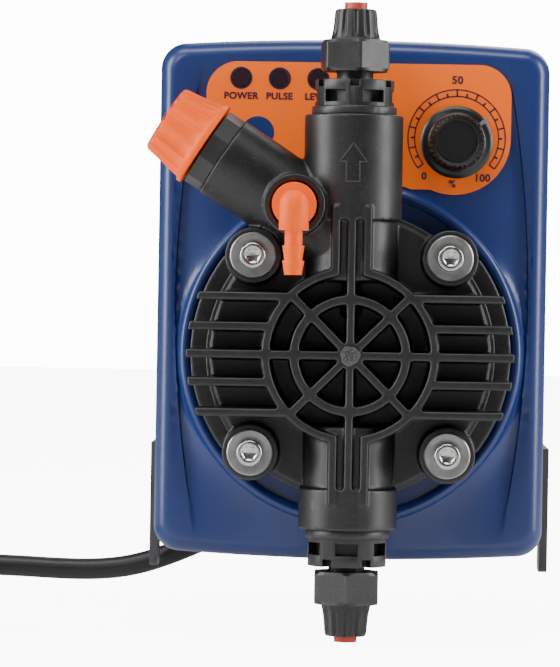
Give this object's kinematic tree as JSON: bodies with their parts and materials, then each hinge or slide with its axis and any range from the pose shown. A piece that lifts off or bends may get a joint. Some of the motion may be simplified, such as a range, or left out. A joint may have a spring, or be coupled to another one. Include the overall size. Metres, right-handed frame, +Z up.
{
  "type": "diaphragm metering pump",
  "caption": "Compact solenoid dosing pump with a ribbed head, suction and discharge valves, bleed valve, dial, wall bracket and mains lead.",
  "frame": {"origin": "centre of the wall bracket's hole pattern, on the wall plane", "axes": "+Z up along the valve axis towards the discharge side, +Y into the wall, front faces -Y, +X to the right seen from the front"},
  "size_m": [0.2558, 0.1623, 0.1671],
  "materials": {
    "housing_blue": "fine satin moulded polypropylene",
    "moulded_black": "glass-filled polypropylene with a faint mould grain",
    "knob_black": "satin black with moulded knurls",
    "pointer_grey": "grey insert",
    "label_orange": "satin printed polyester film",
    "part_orange": "satin moulded plastic",
    "plug_coral": "satin moulded plastic",
    "led_dark": "dark tinted lens, unlit",
    "board_green": "solder resist",
    "stainless": "bright cold-headed stainless steel",
    "washer_steel": "plain stainless washer, turned face",
    "zinc_steel": "zinc-plated steel",
    "bracket_grey": "dark grey moulded bracket",
    "black_rubber": "soft rubber",
    "cord_black": "smooth black PVC sheath",
    "plug_black": "moulded PVC plug body",
    "tie_grey": "nylon strap",
    "pin_nickel": "nickel-plated brass pins",
    "winding_copper": "varnished copper winding",
    "bush_brass": "turned brass",
    "diaphragm_white": "white fluoropolymer",
    "ball_ceramic": "polished ceramic ball"
  },
  "bodies": {
    "root": {"wall_bracket": "bracket_grey", "bracket_screws": "stainless", "rear_shell": "housing_blue", "housing_gasket": "black_rubber", "front_shell": "housing_blue", "housing_screws": "stainless", "control_label": "label_orange", "led_lenses": "led_dark", "circuit_board": "board_green", "potentiometer": "zinc_steel", "level_socket": "moulded_black", "cable_gland": "moulded_black", "strain_relief": "cord_black", "mains_cord": "cord_black", "cord_coil": "cord_black", "cord_tail": "cord_black", "coil_tie": "tie_grey", "mains_plug": "plug_black", "plug_pins": "pin_nickel", "solenoid_can": "zinc_steel", "solenoid_coil": "winding_copper", "fixed_core": "zinc_steel", "guide_bush": "bush_brass", "front_flange": "zinc_steel", "diaphragm": "diaphragm_white", "pump_head": "moulded_black", "head_screws": "stainless", "head_washers": "washer_steel", "discharge_valve_body": "moulded_black", "discharge_seat": "diaphragm_white", "discharge_o_rings": "black_rubber", "suction_valve_body": "moulded_black", "suction_seat": "diaphragm_white", "suction_o_rings": "black_rubber", "bleed_collar": "moulded_black", "bleed_o_ring": "black_rubber"},
    "dial": {"dial_shaft": "zinc_steel", "dial_knob": "knob_black", "dial_pointer": "pointer_grey"},
    "plunger": {"plunger": "zinc_steel", "plunger_shaft": "stainless", "return_spring": "stainless", "diaphragm_core": "black_rubber"},
    "discharge_ball": {"discharge_ball": "ball_ceramic"},
    "suction_ball": {"suction_ball": "ball_ceramic"},
    "discharge_plug": {"discharge_plug": "plug_coral"},
    "discharge_nut": {"discharge_nut": "moulded_black"},
    "suction_plug": {"suction_plug": "plug_coral"},
    "suction_nut": {"suction_nut": "moulded_black"},
    "bleed_stem": {"bleed_stem": "part_orange"},
    "bleed_knob": {"bleed_knob": "part_orange"},
    "drain_elbow": {"drain_elbow": "part_orange", "elbow_o_ring": "black_rubber"}
  },
  "joints": [
    {"name": "dial_turn", "type": "hinge", "parent": "root", "child": "dial", "pos_m": [0.0272, -0.12, 0.0423], "axis": [0, 1, 0], "range_deg": [-180, 76]},
    {"name": "plunger_stroke", "type": "slide", "parent": "root", "child": "plunger", "axis": [0, -1, 0], "range_m": [0, 0.0012], "stiffness_N_per_m": 6000, "springref_m": -0.001, "deforming": ["return_spring"]},
    {"name": "discharge_ball_lift", "type": "slide", "parent": "root", "child": "discharge_ball", "axis": [0, 0, 1], "range_m": [0, 0.0015]},
    {"name": "suction_ball_lift", "type": "slide", "parent": "root", "child": "suction_ball", "axis": [0, 0, 1], "range_m": [0, 0.0015]},
    {"name": "discharge_nut_travel", "type": "slide", "parent": "root", "child": "discharge_plug", "axis": [0, 0, 1], "range_m": [0, 0.003]},
    {"name": "discharge_nut_turn", "type": "hinge", "parent": "discharge_plug", "child": "discharge_nut", "pos_m": [0, -0.1412, 0.0634], "axis": [0, 0, 1], "range_deg": [0, 1080]},
    {"name": "suction_nut_travel", "type": "slide", "parent": "root", "child": "suction_plug", "axis": [0, 0, -1], "range_m": [0, 0.003]},
    {"name": "suction_nut_turn", "type": "hinge", "parent": "suction_plug", "child": "suction_nut", "pos_m": [0, -0.1412, -0.075], "axis": [0, 0, -1], "range_deg": [0, 1080]},
    {"name": "bleed_travel", "type": "slide", "parent": "root", "child": "bleed_stem", "axis": [-0.8387, 0, 0.5446], "range_m": [0, 0.002]},
    {"name": "bleed_knob_turn", "type": "hinge", "parent": "bleed_stem", "child": "bleed_knob", "pos_m": [0, -0.1412, 0.0147], "axis": [-0.8387, 0, 0.5446], "range_deg": [0, 720]},
    {"name": "elbow_swivel", "type": "hinge", "parent": "root", "child": "drain_elbow", "pos_m": [-0.01493, -0.155, 0.0244], "axis": [0, -1, 0], "range_deg": [-90, 90]}
  ],
  "couplings": [
    {"joint": "discharge_nut_turn", "follows": "discharge_nut_travel", "rad_per_m": 6283.2},
    {"joint": "suction_nut_turn", "follows": "suction_nut_travel", "rad_per_m": 6283.2},
    {"joint": "bleed_knob_turn", "follows": "bleed_travel", "rad_per_m": 6283.2}
  ]
}
